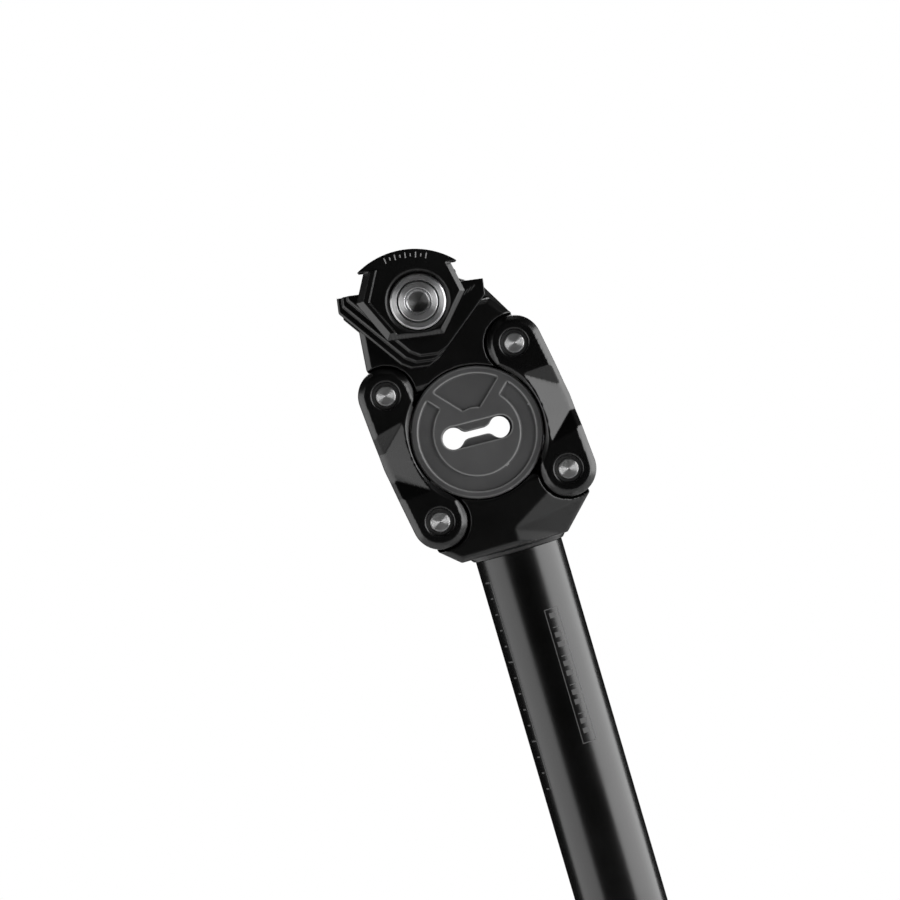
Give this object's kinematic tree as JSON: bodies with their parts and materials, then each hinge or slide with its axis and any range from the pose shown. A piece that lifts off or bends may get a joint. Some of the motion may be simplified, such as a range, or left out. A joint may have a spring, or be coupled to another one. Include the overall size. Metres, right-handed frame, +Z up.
{
  "type": "suspension seatpost",
  "caption": "Bicycle seatpost whose two-rail saddle clamp rides on a four-pivot parallelogram head round a rubber spring disc.",
  "frame": {"origin": "centre of the tube's lower end, on the tube's axis", "axes": "+Z up the tube, +X towards the front of the bicycle, -Y to its right side"},
  "size_m": [0.0632, 0.0614, 0.3662],
  "materials": {
    "tube_anodised": "satin black anodised",
    "forged_anodised": "satin black anodised forging",
    "link_anodised": "semi-gloss black anodised forging",
    "clamp_anodised": "semi-gloss black anodised",
    "rubber": "matt moulded",
    "pin_steel": "turned",
    "bush_steel": "dark bearing steel",
    "bolt_steel": "turned",
    "washer_steel": "turned"
  },
  "bodies": {
    "seatpost": {"post_tube": "tube_anodised", "lower_body": "forged_anodised", "front_lower_pin": "pin_steel", "rear_lower_pin": "pin_steel"},
    "front_link": {"front_link": "link_anodised", "front_lower_bush_right": "bush_steel", "front_lower_bush_left": "bush_steel", "front_upper_bush_right": "bush_steel", "front_upper_bush_left": "bush_steel"},
    "rear_link": {"rear_link": "link_anodised", "rear_lower_bush_right": "bush_steel", "rear_lower_bush_left": "bush_steel", "rear_upper_bush_right": "bush_steel", "rear_upper_bush_left": "bush_steel"},
    "elastomer": {"elastomer": "rubber"},
    "upper_head": {"upper_body": "forged_anodised", "front_upper_pin": "pin_steel", "rear_upper_pin": "pin_steel"},
    "saddle_cradle": {"right_inner_jaw": "clamp_anodised", "left_inner_jaw": "clamp_anodised"},
    "right_clamp": {"right_outer_clamp": "clamp_anodised", "bolt_washer": "washer_steel"},
    "left_clamp": {"left_outer_clamp": "clamp_anodised", "clamp_nut": "washer_steel"},
    "clamp_bolt": {"clamp_bolt": "bolt_steel"}
  },
  "joints": [
    {"name": "front_link_pivot", "type": "hinge", "parent": "seatpost", "child": "front_link", "pos_m": [0.02098, 0, 0.2899], "axis": [0, -1, 0], "range_deg": [0, 20], "stiffness_Nm_per_rad": 80},
    {"name": "rear_link_pivot", "type": "hinge", "parent": "seatpost", "child": "rear_link", "pos_m": [-0.02038, 0, 0.28541], "axis": [0, -1, 0], "range_deg": [0, 20]},
    {"name": "head_pivot", "type": "hinge", "parent": "front_link", "child": "upper_head", "pos_m": [0.01598, 0, 0.33059], "axis": [0, -1, 0], "range_deg": [-20, 0]},
    {"name": "elastomer_follow", "type": "hinge", "parent": "front_link", "child": "elastomer", "pos_m": [0.01848, 0, 0.31025], "axis": [0, -1, 0], "range_deg": [-20, 0], "deforming": ["elastomer"]},
    {"name": "saddle_tilt", "type": "hinge", "parent": "upper_head", "child": "saddle_cradle", "pos_m": [-0.0082, 0, 0.35], "axis": [0, -1, 0], "range_deg": [-10, 10]},
    {"name": "right_clamp_open", "type": "slide", "parent": "saddle_cradle", "child": "right_clamp", "axis": [0, -1, 0], "range_m": [0, 0.003]},
    {"name": "left_clamp_open", "type": "slide", "parent": "saddle_cradle", "child": "left_clamp", "axis": [0, 1, 0], "range_m": [0, 0.003]},
    {"name": "bolt_turn", "type": "hinge", "parent": "right_clamp", "child": "clamp_bolt", "pos_m": [-0.0082, 0, 0.35], "axis": [0, -1, 0], "range_deg": [0, 1728]}
  ],
  "couplings": [
    {"joint": "rear_link_pivot", "follows": "front_link_pivot", "ratio": 1},
    {"joint": "head_pivot", "follows": "front_link_pivot", "ratio": -1},
    {"joint": "elastomer_follow", "follows": "front_link_pivot", "ratio": -1},
    {"joint": "right_clamp_open", "follows": "bolt_turn", "m_per_rad": 0.000099422},
    {"joint": "left_clamp_open", "follows": "bolt_turn", "m_per_rad": 0.000099422}
  ]
}
